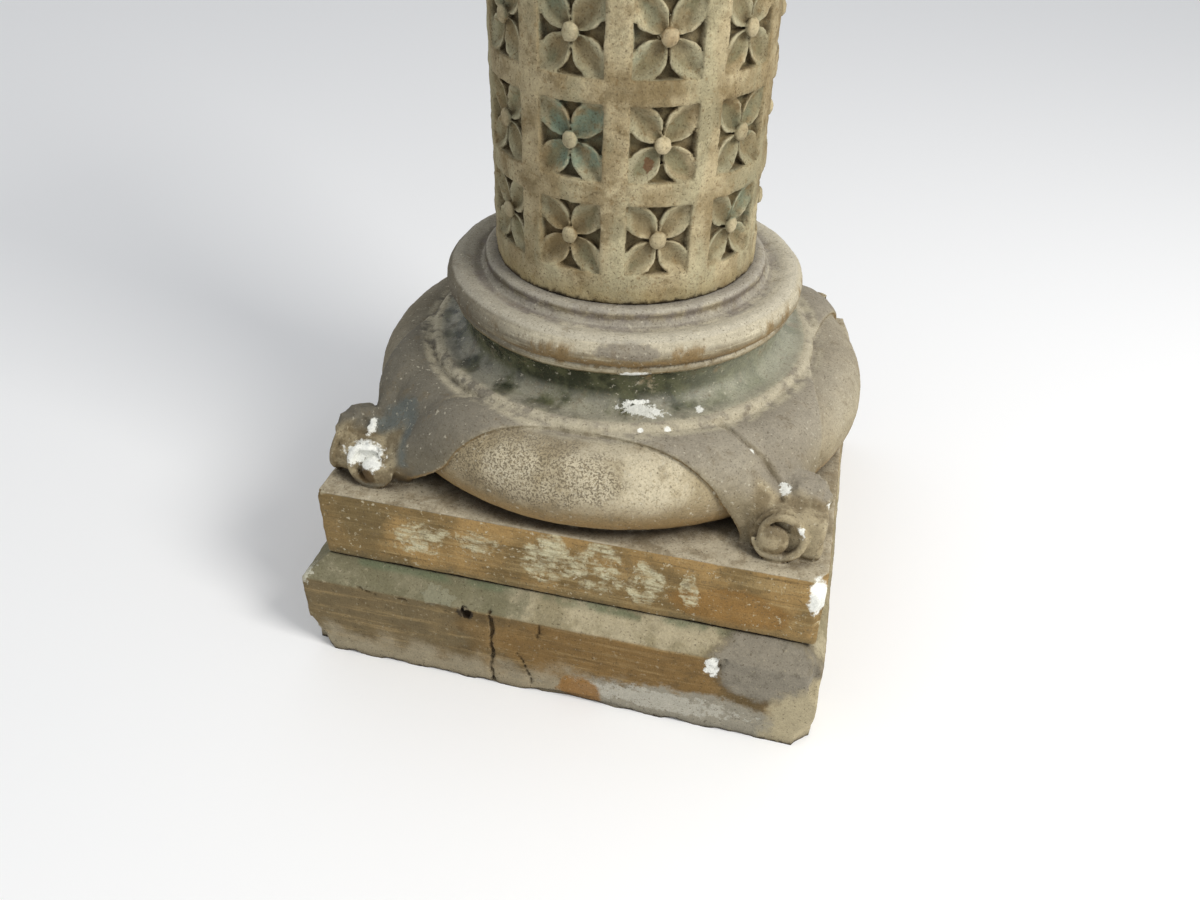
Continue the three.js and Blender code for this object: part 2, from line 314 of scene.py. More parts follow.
def vector_maths(tree, operation, first, second):
    return node(tree, "VectorMath", {0: first, 1: second}, operation=operation).outputs[0]


def noise(tree, scale, detail=3.0, roughness=0.55, stretch=(1, 1, 1)):
    stretched = node(tree, "Mapping", {"Vector": object_place(tree), "Scale": stretch}).outputs[0]
    return clouds(tree, stretched, scale, detail, roughness)


def blotches(tree, scale, detail, low, high, roughness=0.55, stretch=(1, 1, 1)):
    return between(tree, noise(tree, scale, detail, roughness, stretch), low, high)


def upward_slope(tree):
    return node(tree, "SeparateXYZ", {0: node(tree, "NewGeometry").outputs["Normal"]}).outputs[2]


def diagonal_of(tree, first, second):
    squares = maths(tree, "ADD", maths(tree, "POWER", first, 2.0), maths(tree, "POWER", second, 2.0))
    return maths(tree, "SQRT", squares)


def effect(name, **given):
    group = bpy.data.node_groups.new(name, "ShaderNodeTree")
    for socket, value in given.items():
        kind = "NodeSocketVector" if isinstance(value, tuple) else "NodeSocketFloat"
        group.interface.new_socket(name=socket, in_out="INPUT", socket_type=kind).default_value = value
    group.interface.new_socket(name="Mask", in_out="OUTPUT", socket_type="NodeSocketFloat")
    return group, group.nodes.new("NodeGroupInput").outputs


def give(group, mask):
    group.links.new(mask, group.nodes.new("NodeGroupOutput").inputs["Mask"])


def put(tree, group, **values):
    made = tree.nodes.new("ShaderNodeGroup")
    made.node_tree = group
    for name, value in values.items():
        made.inputs[name].default_value = value
    return made.outputs["Mask"]


ragged_patch, given = effect("ragged patch", Centre=(0, 0, 0), Size=(1, 1, 1), Ragged=1.5, Grain=60.0)
away = vector_maths(ragged_patch, "SUBTRACT", object_place(ragged_patch), given["Centre"])
away = vector_maths(ragged_patch, "DIVIDE", away, given["Size"])
away = node(ragged_patch, "VectorMath", {0: away}, operation="LENGTH").outputs["Value"]
torn = clouds(ragged_patch, object_place(ragged_patch), given["Grain"], 6.0, 0.68)
torn = maths(ragged_patch, "MULTIPLY", maths(ragged_patch, "SUBTRACT", torn, 0.5), given["Ragged"])
give(ragged_patch, between(ragged_patch, maths(ragged_patch, "ADD", away, torn), 1.1, 0.82))

speckle, given = effect("speckle", Scale=300.0, Above=0.58, Soft=0.05)
spots = clouds(speckle, object_place(speckle), given["Scale"], 3.0, 0.6)
give(speckle, between(speckle, spots, given["Above"], maths(speckle, "ADD", given["Above"], given["Soft"])))

settled_dust, given = effect("settled dust", Steep=0.1, Flat=0.8, Patchy=1.0, Grain=30.0)
drifts = clouds(settled_dust, object_place(settled_dust), given["Grain"], 5.0, 0.62)
drifts = maths(settled_dust, "MULTIPLY", maths(settled_dust, "SUBTRACT", drifts, 0.5), given["Patchy"])
settled = maths(settled_dust, "ADD", upward_slope(settled_dust), drifts)
give(settled_dust, between(settled_dust, settled, given["Steep"], given["Flat"]))

# Crevice dirt and painted shade: a mask that grows where ambient occlusion finds nearby surfaces.
crevice_dirt_and_shade, given = effect("crevice dirt and shade", Reach=0.02, Open=0.85, Closed=0.4)
shelter = node(crevice_dirt_and_shade, "AmbientOcclusion", {"Distance": given["Reach"]}, samples=4).outputs["AO"]
give(crevice_dirt_and_shade, between(crevice_dirt_and_shade, shelter, given["Open"], given["Closed"]))

grain, given = effect("grain", Scale=620.0, Least=0.8, Most=1.2)
crumbs = clouds(grain, object_place(grain), given["Scale"], 5.0, 0.75)
give(grain, node(
    grain, "MapRange", {0: crumbs, 1: 0.3, 2: 0.7, 3: given["Least"], 4: given["Most"]}
).outputs[0])

crest_wear, given = effect("crest wear", Low=0.52, High=0.58)
crest = node(crest_wear, "NewGeometry").outputs["Pointiness"]
give(crest_wear, between(crest_wear, crest, given["Low"], given["High"]))

brush_streaks, given = effect("brush streaks", Along=(6, 6, 160), Above=0.5, Soft=0.16)
drawn = vector_maths(brush_streaks, "MULTIPLY", object_place(brush_streaks), given["Along"])
drawn = clouds(brush_streaks, drawn, 1.0, 4.0, 0.7)
clear = maths(brush_streaks, "ADD", given["Above"], given["Soft"])
give(brush_streaks, between(brush_streaks, drawn, given["Above"], clear))


def patch(tree, centre, size, ragged=1.5, grain=60.0):
    return put(
        tree, ragged_patch, Centre=Vector(centre) * mm, Size=Vector(size) * mm, Ragged=ragged, Grain=grain
    )


def specks(tree, scale, above, soft):
    return put(tree, speckle, Scale=scale, Above=above, Soft=soft)


# Crevice dirt and painted shade, from the group above.
def sheltered(tree, reach, open_sky, closed):
    return put(tree, crevice_dirt_and_shade, Reach=reach, Open=open_sky, Closed=closed)


def stucco(piece, name):
    material = bpy.data.materials.new(name)
    material.use_nodes = True
    piece.data.materials.clear()
    piece.data.materials.append(material)
    return material.node_tree, material.node_tree.nodes["Principled BSDF"]


def surface(tree, shader, colour, roughness, relief, strength):
    crumbly = maths(tree, "MULTIPLY", put(tree, grain), put(tree, grain, Scale=90.0, Least=0.88, Most=1.12))
    colour = node(tree, "HueSaturation", {"Color": colour, "Value": crumbly}).outputs[0]
    tree.links.new(colour, shader.inputs["Base Color"])
    tree.links.new(roughness, shader.inputs["Roughness"])
    bump = node(tree, "Bump", {"Height": relief, "Strength": strength, "Distance": 0.0012}).outputs[0]
    tree.links.new(bump, shader.inputs["Normal"])
    shader.inputs["Specular IOR Level"].default_value = 0.3


paint, shader = stucco(plinth, "ochre stucco")
height = node(paint, "SeparateXYZ", {0: object_place(paint)}).outputs[2]
colour = coat(paint, shade(98, 81, 52), blotches(paint, 22, 5, 0.38, 0.62), shade(128, 104, 66))
colour = coat(paint, colour, patch(paint, (-190, -200, 60), (118, 90, 90), 1.4, 18), shade(112, 99, 72), 0.75)
colour = coat(paint, colour, patch(paint, (52, -233, 58), (98, 20, 44), 0.9, 30), shade(126, 98, 56), 0.75)
pale_streaks = put(paint, brush_streaks, Along=(9, 9, 170))
colour = coat(paint, colour, pale_streaks, shade(166, 142, 98), 0.4)
dark_streaks = put(paint, brush_streaks, Along=(14, 14, 260), Above=0.54)
colour = coat(paint, colour, dark_streaks, shade(82, 66, 42), 0.5)
colour = coat(paint, colour, blotches(paint, 55, 6, 0.56, 0.66, 0.7), shade(92, 74, 46), 0.5)
splash_line = maths(paint, "ADD", height, maths(paint, "MULTIPLY", noise(paint, 40, 5), -0.07))
colour = coat(paint, colour, between(paint, splash_line, 0.008, -0.02), shade(160, 150, 126), 0.75)
colour = coat(paint, colour, patch(paint, (122, -236, 16), (112, 20, 26), 1.3, 50), shade(146, 140, 124))
colour = coat(paint, colour, patch(paint, (96, -236, 22), (70, 20, 12), 2.8, 110), shade(186, 182, 168), 0.7)
colour = coat(paint, colour, patch(paint, (26, -236, 10), (20, 14, 24), 1.0, 60), shade(142, 104, 54), 0.9)
band = between(paint, height, 0.0855, 0.0885)
weathered = coat(paint, shade(142, 132, 104), blotches(paint, 30, 6, 0.42, 0.6, 0.65), shade(170, 159, 131))
dull_end = patch(paint, (-190, -225, 98), (150, 60, 30), 1.6, 25)
weathered = coat(paint, weathered, dull_end, shade(98, 97, 74), 0.65)
mossy = both(paint, between(paint, height, 0.098, 0.102), blotches(paint, 24, 4, 0.4, 0.55))
weathered = coat(paint, weathered, mossy, shade(96, 106, 80), 0.7)
colour = coat(paint, colour, band, weathered)
colour = coat(paint, colour, patch(paint, (-101, -227, 92), (15, 9, 7), 3.4, 160), shade(170, 170, 148), 0.25)
mend = (183, -224, 80)
colour = coat(paint, colour, patch(paint, mend, (50, 37, 37), 0.8, 60), shade(84, 72, 52), 0.7)
colour = coat(paint, colour, patch(paint, mend, (46, 34, 33), 0.8, 60), shade(134, 127, 112))
stained = both(paint, patch(paint, mend, (48, 34, 35), 0.8, 60), blotches(paint, 70, 6, 0.52, 0.64, 0.7))
colour = coat(paint, colour, stained, shade(104, 97, 84), 0.6)
colour = coat(paint, colour, patch(paint, (226, -222, 24), (40, 46, 54), 0.9, 40), shade(172, 160, 130))
colour = coat(paint, colour, patch(paint, (139, -233, 78), (6, 8, 12), 2.6, 150), shade(232, 232, 224))
colour = coat(paint, colour, patch(paint, (-226, -228, 96), (9, 12, 14), 2.2, 180), shade(200, 198, 180), 0.7)
# Painted shade: a near-black spot in the wide pit cut by the groove above it.
colour = coat(paint, colour, patch(paint, (-76, -232, 83), (8, 7, 6), 1.6, 200), shade(40, 34, 26), 0.85)
colour = coat(paint, colour, specks(paint, 240.0, 0.60, 0.14), shade(180, 170, 142), 0.35)
colour = coat(paint, colour, specks(paint, 520.0, 0.60, 0.08), shade(66, 54, 36), 0.6)
colour = coat(paint, colour, put(paint, crest_wear, Low=0.53, High=0.60), shade(176, 162, 130), 0.5)
# Painted shade with dirt: dark brown where ambient occlusion finds crevices, grooves and the floor close by.
colour = coat(paint, colour, sheltered(paint, 0.012, 0.86, 0.45), shade(48, 38, 25), 0.95)
relief = maths(paint, "ADD", noise(paint, 900, 3, 0.6), noise(paint, 300, 3, 0.6, (0.2, 0.2, 1)))
surface(paint, shader, colour, between(paint, noise(paint, 200), -1.2, 0.6), relief, 0.45)
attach(plinth, "root")
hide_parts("plinth")


# Base: one casting of stucco, from the square block up to the ring under the shaft. The block
# carries a turned torus and mouldings, four leaves laid over the torus, and a pair of scrolls at
# each corner. It is bedded on the plinth.
column_x = 4.5
block_half = 213
block_foot = 105.3
block_top = 174.3
torus_centre = 185
torus_tube = 37
torus_z = 211.3
bead_reach = 166.5
bead_radius = 7.5
bead_z = 249.3
scotia_foot = 256.8
scotia_reach = 142
fillet_z = 290.8
roll_reach = 143
roll_radius = 13
roll_z = 309
ring_reach = 118
ring_radius = 4.5
ring_z = 327


def arc(centre, height, radius, start, end, steps):
    turns = [radians(start + (end - start) * i / steps) for i in range(steps + 1)]
    return [(centre + radius * cos(a), height + radius * sin(a)) for a in turns]


def hollow(foot, top, deepest, foot_reach, top_reach, steps=8):
    middle = foot + (top - foot) * 0.4
    points = []
    for i in range(steps + 1):
        a = pi * 1.5 - pi / 2 * i / steps
        points.append((foot_reach + (foot_reach - deepest) * cos(a), middle + (middle - foot) * sin(a)))
    for i in range(1, steps + 1):
        a = pi - pi / 2 * i / steps
        points.append((top_reach + (top_reach - deepest) * cos(a), middle + (top - middle) * sin(a)))
    return points


def turned(name, profile, steps):
    bpy.ops.object.select_all(action="DESELECT")
    bpy.ops.mesh.primitive_plane_add(size=0.001)
    piece = bpy.context.object
    piece.name = name
    bpy.ops.object.mode_set(mode="EDIT")
    bpy.ops.mesh.select_mode(type="VERT")
    bpy.ops.mesh.merge(type="CENTER")
    last = Vector((0, 0, 0))
    for i, (radius, height) in enumerate(profile):
        point = Vector((radius, 0, height)) * mm
        if i == 0:
            bpy.ops.transform.translate(value=point - last)
        else:
            bpy.ops.mesh.extrude_region_move(TRANSFORM_OT_translate={"value": point - last})
        last = point
    bpy.ops.mesh.select_all(action="SELECT")
    bpy.ops.mesh.spin(steps=steps, angle=2 * pi, center=(0, 0, 0), axis=(0, 0, 1))
    bpy.ops.mesh.select_all(action="SELECT")
    bpy.ops.mesh.remove_doubles(threshold=1e-5)
    bpy.ops.mesh.normals_make_consistent(inside=False)
    object_mode()
    return piece


profile = [(0, 150), (190, 150)]
profile += arc(torus_centre, torus_z, torus_tube, -75, 118, 28)
profile += [(165, 244.5)]
profile += arc(bead_reach, bead_z, bead_radius, -35, 80, 6)
profile += hollow(scotia_foot, fillet_z, scotia_reach, 163, 150)
profile += [(149.5, fillet_z + 0.5), (150.5, fillet_z + 3), (149.5, fillet_z + 7), (144, fillet_z + 8.4)]
profile += arc(roll_reach, roll_z, roll_radius, -48, 100, 12)
profile += [(136, 320.5), (131, 319), (126, 319.2)]
profile += arc(ring_reach, ring_z, ring_radius, -30, 95, 6)
profile += [(0, 331.5)]
base = turned("base_stucco", profile, 160)


def on_torus(angle, fall, height, flare=0):
    out = torus_centre + (torus_tube + height) * cos(radians(fall)) + flare
    up = torus_z + (torus_tube + height) * sin(radians(fall))
    return Vector((out * sin(radians(angle)), -out * cos(radians(angle)), up)) * mm


# Base: each leaf hugs the torus from the bead down to its tail between the scrolls. It swells from
# its edge to a fold and dips into a channel along the corner.
leaf_foot = -66
leaf_head = 120
lens_half = 33.5
tail_angle = 37.5
lens_top = 108
lens_middle = -45
leaf_rise = 4.6
leaf_thick = 12
tail_flare = 36
fold_flare = 30
crease_deep = 3.8
crease_lip = 1.8


def smooth_step(low, high, value):
    t = min(1, max(0, (value - low) / (high - low)))
    return t * t * (3 - 2 * t)


def crease_angle(path, fall):
    for (high, start), (low, end) in zip(path, path[1:]):
        if low <= fall <= high:
            return start + (end - start) * (high - fall) / (high - low)
    return 1000


def leaf_sheet(corner, sides, fold, channel, swell, crease=()):
    bpy.ops.object.select_all(action="DESELECT")
    bpy.ops.mesh.primitive_grid_add(x_subdivisions=110, y_subdivisions=70, size=2)
    leaf = bpy.context.object
    for vert in leaf.data.vertices:
        u = vert.co.x
        fall = leaf_foot + (leaf_head - leaf_foot) * (vert.co.y + 1) / 2
        share = min(1, max(0, (fall - lens_middle) / (lens_top - lens_middle)))
        wide = sides[0] if u < 0 else sides[1]
        lens = max(0.5, wide * sqrt(1 - share * share)) + (tail_angle - wide) * smooth_step(-15, 62, -fall)
        half = 45 - lens
        side = abs(u)
        spread = 0.4 + 0.6 * (1 - share)
        roll = swell * sin(pi * min(1, max(0, (side - fold) / (1 - fold)))) * (0.4 + 0.6 * spread)
        dip = channel * spread * (1 - smooth_step(fold - 0.16, fold + 0.10, side))
        lip = 0.8 * smooth_step(0.93, 1.0, side)
        flare = tail_flare * max(0, (8 - fall) / 70) ** 1.7 * (1 - 0.3 * side**4)
        beside = 3.6 * (corner + half * u - crease_angle(crease, fall))
        lip += crease_deep * exp(-((beside / 2) ** 2)) - crease_lip * exp(-(((beside - 5) / 3) ** 2))
        flare += fold_flare * smooth_step(0, 1, (42 - fall) / 66) * (1 - smooth_step(0.12, 0.8, side))
        vert.co = on_torus(corner + half * u, fall, leaf_rise + roll - dip - lip, flare)
    apply_modifier(leaf, "SOLIDIFY", thickness=leaf_thick * mm, offset=-1)
    only(leaf)
    bpy.ops.object.mode_set(mode="EDIT")
    bpy.ops.mesh.select_all(action="SELECT")
    bpy.ops.mesh.normals_make_consistent(inside=False)
    object_mode()
    return leaf


leaves = [
    leaf_sheet(-45, (lens_half, 27.5), 0.36, 9.5, 3.0),
    leaf_sheet(45, (35.0, lens_half), 0.16, 5.0, 2.6, (
        (116, 38.8), (100, 39.6), (70, 41), (44, 43.6), (30, 44.6), (14, 45.2), (2, 45.4),
    )),
    leaf_sheet(135, (lens_half, lens_half), 0.24, 4.0, 2.4),
    leaf_sheet(-135, (lens_half, lens_half), 0.28, 4.4, 2.4),
]

# Base: the square block, worn at its arrises, with its right corners broken off.
block = squared_block(
    "block",
    Vector((-block_half, -block_half, block_foot)) * mm,
    Vector((block_half, block_half, block_top)) * mm,
)
apply_modifier(block, "BEVEL", width=2.2 * mm, segments=2)
break_off(block, (222, -223, 140), (14, 19, 60), (0, 6, 30), 31)
break_off(block, (216, -216, 168), (16, 18, 12), (0, 0, 0), 32)
break_off(block, (-216, -216, 178), (9, 9, 14), (0, 0, 0), 33)
break_off(block, (-219, -190, 140), (8, 30, 26), (0, 0, 0), 34)
lost_corner = squared_block("lost corner", Vector((0, -60, 90)) * mm, Vector((50, 60, 190)) * mm)
lost_corner.rotation_euler = (0, 0, radians(12))
lost_corner.location = Vector((207, 196, 0)) * mm
finished(lost_corner)
cut_away(block, lost_corner)

# Base: a scroll is a roll with a thick rounded rim, a sunk turn and a raised eye.
scroll_radius = 23
scroll_inset = 42
roll_deep = 48
hollow_deep = 7.9
rim_radius = 4.3
eye_radius = 13
eye_shift = 5.2
eye_drop = 4.5
eye_sunk = 0.6
eye_flat = 0.6
coil_steps = 44
coil_start = radians(-168)
coil_turns = 0.98
coil_heart = 15
face_tilt = 9


def scroll(side, face_inset, quarter, grown=0):
    radius = scroll_radius + grown
    face = -(block_half - face_inset)
    centre = Vector((side * (block_half - scroll_inset), 0, block_top + radius - 2)) * mm
    bpy.ops.object.select_all(action="DESELECT")
    bpy.ops.mesh.primitive_cylinder_add(
        vertices=40, radius=(radius - 4) * mm, depth=roll_deep * mm,
        location=(0, (face + hollow_deep + roll_deep / 2) * mm, 0), rotation=(pi / 2, 0, 0),
    )
    roll = finished(bpy.context.object)
    path = bpy.data.curves.new("coil", "CURVE")
    path.dimensions = "3D"
    path.bevel_depth = rim_radius * mm
    path.bevel_resolution = 3
    path.use_fill_caps = True
    line = path.splines.new("POLY")
    line.points.add(coil_steps)
    for i, point in enumerate(line.points):
        share = i / coil_steps
        angle = coil_start + 2 * pi * coil_turns * share
        away = radius - rim_radius + (coil_heart - radius + rim_radius) * share
        point.co = (side * away * cos(angle) * mm, (face + rim_radius) * mm, away * sin(angle) * mm, 1)
        point.radius = min(1, 0.35 + 5 * share) - 0.35 * share
    rim = bpy.data.objects.new("coil", path)
    bpy.context.collection.objects.link(rim)
    only(rim)
    bpy.ops.object.convert(target="MESH")
    rim = finished(bpy.context.object)
    bpy.ops.object.select_all(action="DESELECT")
    bpy.ops.mesh.primitive_uv_sphere_add(
        segments=28, ring_count=14, radius=eye_radius * mm, rotation=(pi / 2, 0, 0)
    )
    eye = bpy.context.object
    eye.location = Vector((-side * eye_shift, face + rim_radius + eye_sunk, -eye_drop)) * mm
    eye.scale = (1, 1, eye_flat)
    finished(eye)
    only(roll)
    rim.select_set(True)
    eye.select_set(True)
    bpy.ops.object.join()
    roll.location = (0, -face * mm, 0)
    finished(roll)
    roll.rotation_euler = (radians(-face_tilt), 0, 0)
    roll.location = (centre.x, face * mm, centre.z)
    finished(roll)
    roll.rotation_euler = (0, 0, quarter * pi / 2)
    return finished(roll)


scrolls = [
    scroll(-1, 17, 0, 1), scroll(1, 15, 0, 2.5), scroll(-1, 10, 1, 0), scroll(1, 10, 1, 1),
    scroll(-1, 18, 2), scroll(1, 18, 2), scroll(-1, 3, 3, 2), scroll(1, 3, 3, 1),
]
curl = squared_block("curl", Vector((176, -193, 174)) * mm, Vector((205, -156, 216)) * mm)
apply_modifier(curl, "BEVEL", width=6 * mm, segments=3)
root_knock = 1.5
roots = [
    rough_lump((184, -160, 213), (22, 24, 14), (14, 0, 0), 51, root_knock),
    rough_lump((-190, -160, 210), (22, 23, 15), (6, 0, 0), 52, root_knock),
    rough_lump((-176, 160, 212), (20, 20, 12), (0, 0, 0), 53, root_knock),
]
break_off(roots[0], (158, -180, 220), (11, 14, 8), (0, 0, 0), 48, 0.16)
break_off(roots[1], (-184, -176, 226), (17, 15, 12), (0, 0, 0), 49, 0.16)
break_off(scrolls[0], (-172, -202, 216), (20, 15, 15), (30, 0, 0), 41, 0.16)
break_off(scrolls[1], (196, -205, 210), (6, 8, 8), (0, 0, 0), 44, 0.16)
break_off(curl, (196, -196, 222), (22, 10, 9), (0, 0, 0), 43, 0.16)
break_off(scrolls[2], (211, -163, 222), (7, 12, 8), (0, 0, 0), 45, 0.16)
break_off(scrolls[6], (-222, -165, 208), (12, 20, 20), (0, 0, 0), 46, 0.16)
break_off(scrolls[7], (-222, -165, 208), (12, 20, 20), (0, 0, 0), 46, 0.16)
for broken in scrolls[3:5]:
    break_off(broken, (205, 190, 200), (26, 60, 34), (0, 0, 0), 47, 0.1)
bpy.ops.object.select_all(action="DESELECT")
for part in [block, *leaves, *scrolls, curl, *roots]:
    part.select_set(True)
base.select_set(True)
bpy.context.view_layer.objects.active = base
bpy.ops.object.join()
base.location.x = column_x * mm
finished(base)
cast(base, voxel=1.55 * mm, triangles=192000)


def from_axis(tree):
    spot = vector_maths(tree, "SUBTRACT", object_place(tree), Vector((column_x, 0, 0)) * mm)
    x, y, z = node(tree, "SeparateXYZ", {0: spot}).outputs
    return x, y, z, diagonal_of(tree, x, y)


plaster, shader = stucco(base, "dusty glazed stucco")
x, y, z, reach = from_axis(plaster)
tube_out = maths(plaster, "SUBTRACT", reach, torus_centre * mm)
tube_up = maths(plaster, "SUBTRACT", z, torus_z * mm)
tube = diagonal_of(plaster, tube_out, tube_up)
round_angle = maths(plaster, "ABSOLUTE", maths(plaster, "ARCTAN2", x, maths(plaster, "MULTIPLY", y, -1.0)))
quarter_angle = maths(plaster, "PINGPONG", round_angle, pi / 4)
upward = upward_slope(plaster)
colour = coat(plaster, shade(128, 116, 91), blotches(plaster, 16, 5, 0.40, 0.62, 0.6), shade(158, 147, 121))
dusty = put(plaster, settled_dust, Steep=-0.1, Flat=1.0, Patchy=0.45)
colour = coat(plaster, colour, dusty, shade(148, 141, 127), 0.8)
# Painted shade: the whole base darkens towards its left side, away from the key light.
colour = coat(plaster, colour, between(plaster, x, 0.02, -0.16), shade(92, 88, 77), 0.8)
lens = both(
    plaster, between(plaster, tube, (torus_tube + 3.2) * mm, (torus_tube + 1.6) * mm),
    between(plaster, quarter_angle, radians(37), radians(34)), between(plaster, z, 0.262, 0.240),
    between(plaster, reach, 0.178, 0.186),
)
front = between(plaster, round_angle, 0.85, 0.7)
lens = both(plaster, lens, maths(plaster, "ADD", maths(plaster, "MULTIPLY", front, 0.75), 0.25))
cream = coat(plaster, shade(162, 148, 118), blotches(plaster, 24, 4, 0.4, 0.62), shade(196, 185, 158))
# Brown tone and painted shade: the lens turns dark brown where it faces downward.
cream = coat(plaster, cream, between(plaster, upward, 0.45, -0.3), shade(128, 109, 76), 0.85)
pitted = both(
    plaster, patch(plaster, (-30, -205, 232), (84, 60, 28), 1.4, 25), specks(plaster, 620.0, 0.46, 0.12)
)
cream = coat(plaster, cream, pitted, shade(98, 88, 70), 0.85)
cream = coat(plaster, cream, specks(plaster, 420.0, 0.53, 0.14), shade(136, 122, 94), 0.6)
colour = coat(plaster, colour, lens, cream)
blue_grey = patch(plaster, (-150, -170, 212), (26, 34, 36), 1.1, 30)
colour = coat(plaster, colour, blue_grey, shade(98, 104, 100), 0.75)
under = both(plaster, between(plaster, upward, -0.05, -0.55), between(plaster, z, 0.172, 0.18))
colour = coat(plaster, colour, under, shade(140, 113, 70), 0.8)
turning = node(plaster, "CombineXYZ", {
    0: maths(plaster, "MULTIPLY", x, 9.0), 1: maths(plaster, "MULTIPLY", y, 9.0),
    2: maths(plaster, "MULTIPLY", maths(plaster, "SUBTRACT", z, reach), 260.0),
}).outputs[0]
turning = clouds(plaster, turning, 1.0, 4.0, 0.65)
moulded = both(plaster, between(plaster, z, 0.2895, 0.2925), blotches(plaster, 30, 4, 0.3, 0.55))
dark_turns = both(plaster, moulded, between(plaster, turning, 0.5, 0.36))
colour = coat(plaster, colour, dark_turns, shade(108, 99, 84), 0.6)
pale_turns = both(plaster, moulded, between(plaster, turning, 0.52, 0.66))
colour = coat(plaster, colour, pale_turns, shade(200, 190, 162), 0.7)
bead = both(
    plaster, between(plaster, z, 0.2465, 0.249), between(plaster, z, 0.2585, 0.2565),
    between(plaster, reach, 0.160, 0.164), between(plaster, reach, 0.186, 0.179),
)
# Painted highlight: a pale cream band along the bead, broken up by blotches.
bead_painted_highlight = both(plaster, bead, blotches(plaster, 80, 5, 0.35, 0.55))
colour = coat(plaster, colour, bead_painted_highlight, shade(190, 181, 156), 0.7)
roll = both(plaster, between(plaster, z, 0.292, 0.298), between(plaster, reach, 0.125, 0.132))
drips = noise(plaster, 1, 5, 0.65, (38, 38, 12))
bleached = both(plaster, roll, between(plaster, upward, -0.2, 0.5))
colour = coat(plaster, colour, bleached, shade(206, 197, 172), 0.55)
stained = both(plaster, roll, between(plaster, drips, 0.5, 0.6), between(plaster, upward, 0.85, 0.2))
colour = coat(plaster, colour, stained, shade(128, 105, 68), 0.85)
# Painted shade: the roll darkens on its left side, away from the key light.
roll_left_shade = both(plaster, between(plaster, z, 0.292, 0.296), between(plaster, x, 0.0, -0.12))
colour = coat(plaster, colour, roll_left_shade, shade(92, 85, 71), 0.85)
cove = both(plaster, between(plaster, z, 0.3165, 0.3185), between(plaster, reach, 0.138, 0.133))
dull_cove = both(plaster, cove, blotches(plaster, 40, 6, 0.4, 0.58, 0.7))
colour = coat(plaster, colour, dull_cove, shade(112, 104, 98), 0.75)
bare_spot = patch(plaster, (40, -149, 314), (25, 16, 8), 1.7, 70)
colour = coat(plaster, colour, bare_spot, shade(118, 111, 100), 0.7)
ring = both(plaster, between(plaster, z, 0.3185, 0.3205), between(plaster, upward, 0.2, 0.8))
colour = coat(plaster, colour, ring, shade(186, 180, 164), 0.5)
glaze = both(
    plaster, between(plaster, z, 0.2545, 0.2585), between(plaster, z, 0.2935, 0.2895),
    between(plaster, reach, 0.1665, 0.1635),
)
glaze = both(plaster, glaze, blotches(plaster, 46, 6, 0.30, 0.42, 0.7))
green = coat(plaster, shade(50, 53, 36), blotches(plaster, 60, 5, 0.42, 0.6), shade(84, 85, 60))
thin_glaze = both(plaster, between(plaster, z, 0.272, 0.258), blotches(plaster, 34, 5, 0.36, 0.56))
green = coat(plaster, green, thin_glaze, shade(160, 156, 138), 0.75)
# Painted light: the glazed scotia is paler towards its right, where the key light falls.
green = coat(plaster, green, between(plaster, x, 0.05, 0.13), shade(168, 168, 146), 0.5)
colour = coat(plaster, colour, glaze, green)
steep = between(plaster, maths(plaster, "ABSOLUTE", upward), 0.75, 0.5)
faces = both(plaster, between(plaster, z, 0.1765, 0.172), steep)
ochre = coat(plaster, shade(122, 101, 64), blotches(plaster, 20, 4, 0.4, 0.6), shade(160, 130, 82))
ochre = coat(plaster, ochre, put(plaster, brush_streaks, Along=(8, 8, 170)), shade(172, 150, 106), 0.5)
dark_streaks = put(plaster, brush_streaks, Along=(12, 12, 300), Above=0.53)
ochre = coat(plaster, ochre, dark_streaks, shade(86, 70, 42), 0.55)
dull_corner = patch(plaster, (-205, -205, 140), (70, 60, 60), 1.2, 16)
ochre = coat(plaster, ochre, dull_corner, shade(108, 92, 60), 0.6)
fresh_ochre = patch(plaster, (150, -213, 128), (46, 20, 22), 1.4, 20)
ochre = coat(plaster, ochre, fresh_ochre, shade(140, 104, 54), 0.7)
worn = both(
    plaster, specks(plaster, 110.0, 0.36, 0.2),
    put(plaster, brush_streaks, Along=(60, 60, 260), Above=0.3, Soft=0.34),
)
scuffs = (
    ((-6, -214, 143), (24, 20, 27), 1.8), ((36, -214, 146), (22, 20, 26), 1.8),
    ((76, -214, 138), (14, 20, 22), 2.2), ((-118, -214, 142), (24, 20, 18), 2.2),
    ((-62, -214, 150), (18, 20, 12), 2.4), ((112, -214, 140), (7, 20, 20), 2.4),
)
for place, size, torn in scuffs:
    scuffed = both(plaster, patch(plaster, place, size, torn, 50), worn)
    ochre = coat(plaster, ochre, scuffed, shade(200, 193, 160), 0.95)
ochre = coat(plaster, ochre, specks(plaster, 260.0, 0.58, 0.14), shade(186, 172, 134), 0.45)
ochre = coat(plaster, ochre, between(plaster, z, 0.118, 0.107), shade(110, 98, 70), 0.5)
colour = coat(plaster, colour, faces, ochre)
soil = both(plaster, between(plaster, z, 0.180, 0.1755), between(plaster, upward, 0.6, 0.85))
earth = coat(plaster, shade(180, 169, 145), blotches(plaster, 50, 6, 0.44, 0.62, 0.7), shade(142, 129, 104))
colour = coat(plaster, colour, soil, earth, 0.9)
scroll_zone = both(
    plaster, between(plaster, z, 0.178, 0.184), between(plaster, maths(plaster, "ABSOLUTE", x), 0.140, 0.150),
    between(plaster, maths(plaster, "ABSOLUTE", y), 0.165, 0.175),
)
scroll_tone = coat(plaster, shade(118, 103, 75), blotches(plaster, 60, 5, 0.42, 0.6), shade(164, 150, 119))
colour = coat(plaster, colour, scroll_zone, scroll_tone, 0.8)
